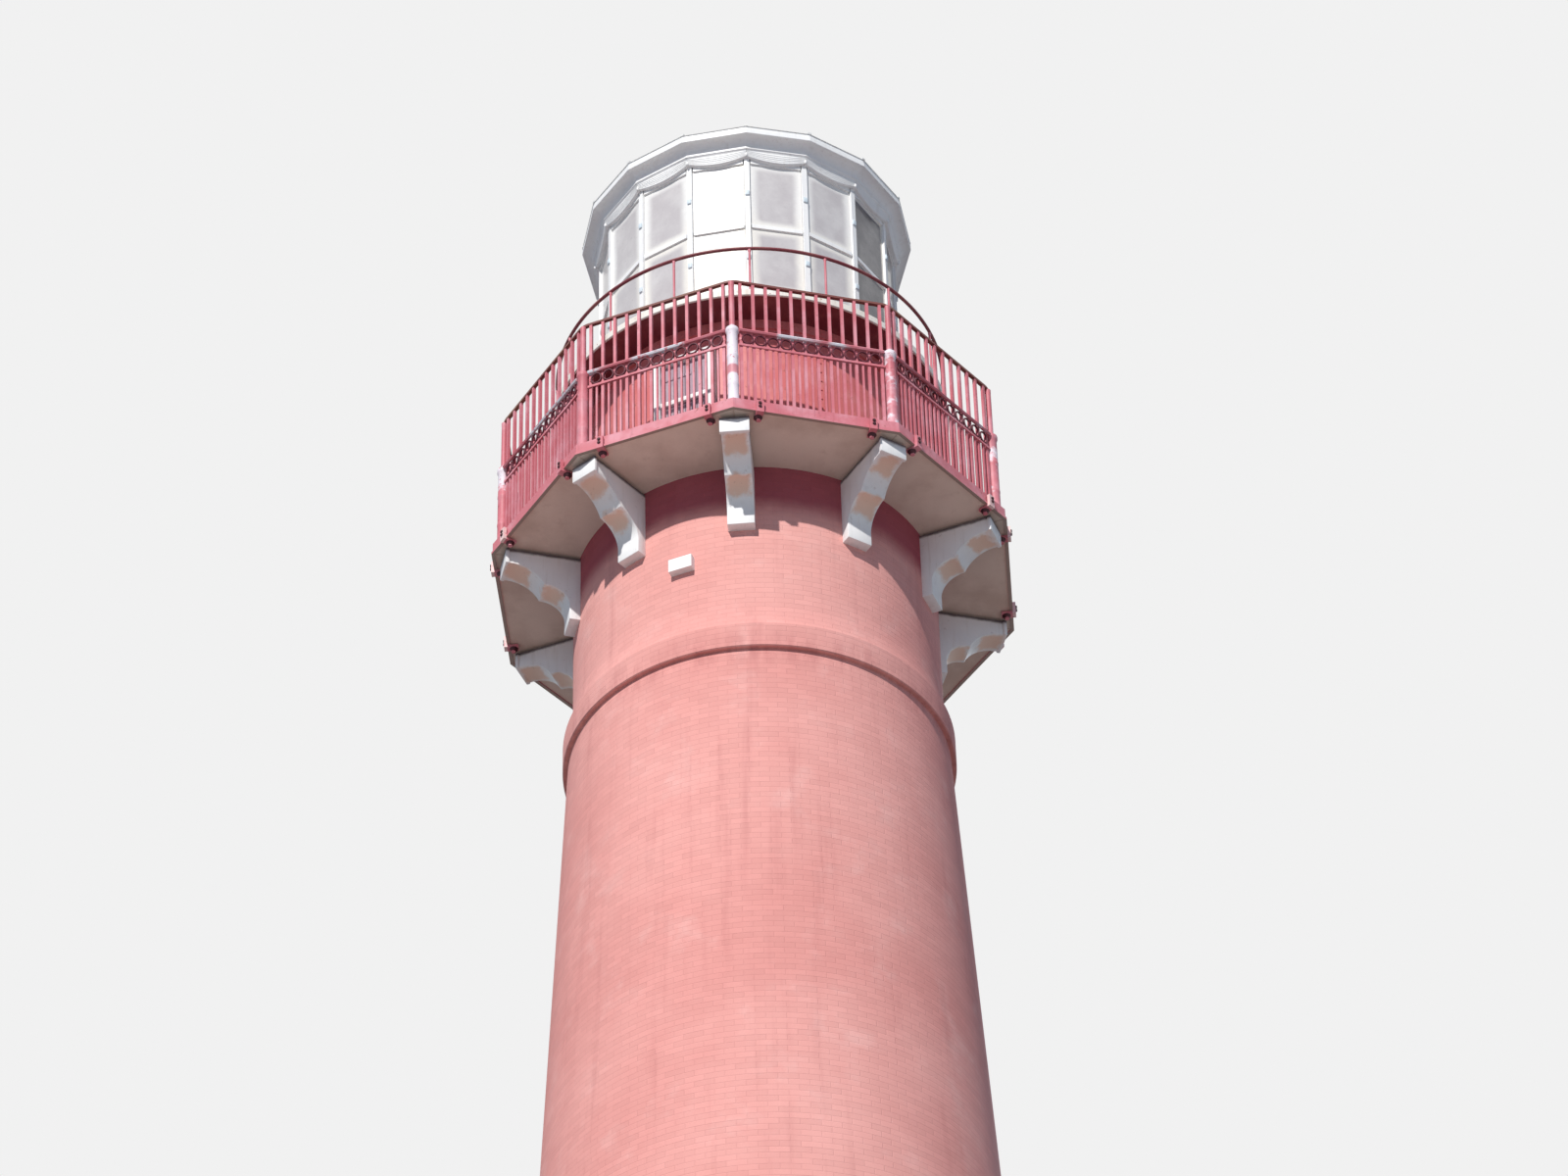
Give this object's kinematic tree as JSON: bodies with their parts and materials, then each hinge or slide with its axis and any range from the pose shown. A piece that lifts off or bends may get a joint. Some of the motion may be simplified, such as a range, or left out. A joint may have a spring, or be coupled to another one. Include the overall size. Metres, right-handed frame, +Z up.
{
  "type": "lighthouse tower, scale model 1:2",
  "caption": "Half-size model of a tall round brick lighthouse in red paint, with a bracketed many-sided gallery, a tall red fence and a white faceted lantern.",
  "frame": {"origin": "centre of the tower's foot, on the ground", "axes": "+Z up along the tower's axis, -Y towards the side that the picture shows"},
  "size_m": [4.3594, 4.3594, 26.5705],
  "materials": {
    "red_masonry": "painted brickwork, matt brick red",
    "stone_floor": "plain stone floor",
    "white_paint": "white oil paint",
    "door_paint": "dull mauve grey paint",
    "soffit_paint": "off white paint on iron plate",
    "red_iron": "red paint on cast and wrought iron",
    "dark_red_iron": "dark red paint on iron",
    "white_iron": "white paint on cast iron",
    "milky_glass": "weathered pane with a milky face",
    "bare_metal": "weathered bare rod"
  },
  "bodies": {
    "root": {"cornice": "white_iron", "edge_clamps": "red_iron", "entrance_door": "door_paint", "entrance_frame": "white_paint", "fence_panel_01": "red_iron", "fence_panel_02": "red_iron", "fence_panel_03": "red_iron", "fence_panel_04": "red_iron", "fence_panel_05": "red_iron", "fence_panel_06": "red_iron", "fence_panel_07": "red_iron", "fence_panel_08": "red_iron", "fence_panel_09": "red_iron", "fence_panel_10": "red_iron", "fence_posts": "red_iron", "fence_top_rail": "dark_red_iron", "gallery_brackets": "white_iron", "gallery_deck": "soffit_paint", "gallery_door": "door_paint", "gallery_door_frame": "white_paint", "gallery_fascia": "red_iron", "ground_floor": "stone_floor", "hood_mouldings": "white_iron", "lantern_deck": "dark_red_iron", "lantern_kerb": "white_iron", "lantern_posts": "white_iron", "lantern_rails": "white_iron", "lantern_wall": "white_iron", "lightning_rod": "bare_metal", "lower_panes": "milky_glass", "roof_panels": "white_iron", "roof_ribs": "white_iron", "shaft_wall_1": "red_masonry", "shaft_wall_2": "red_masonry", "shaft_wall_3": "red_masonry", "shaft_wall_4": "red_masonry", "shaft_wall_5": "red_masonry", "shaft_wall_6": "red_masonry", "shaft_wall_7": "red_masonry", "shaft_wall_beside_door": "red_masonry", "shaft_wall_over_door": "red_masonry", "upper_panes": "milky_glass", "ventilator": "white_iron", "walkway_rail": "dark_red_iron", "walkway_stanchions": "dark_red_iron", "wall_vent": "white_paint", "watch_room_lintel": "red_iron", "watch_room_wall": "red_iron"}
  },
  "joints": []
}
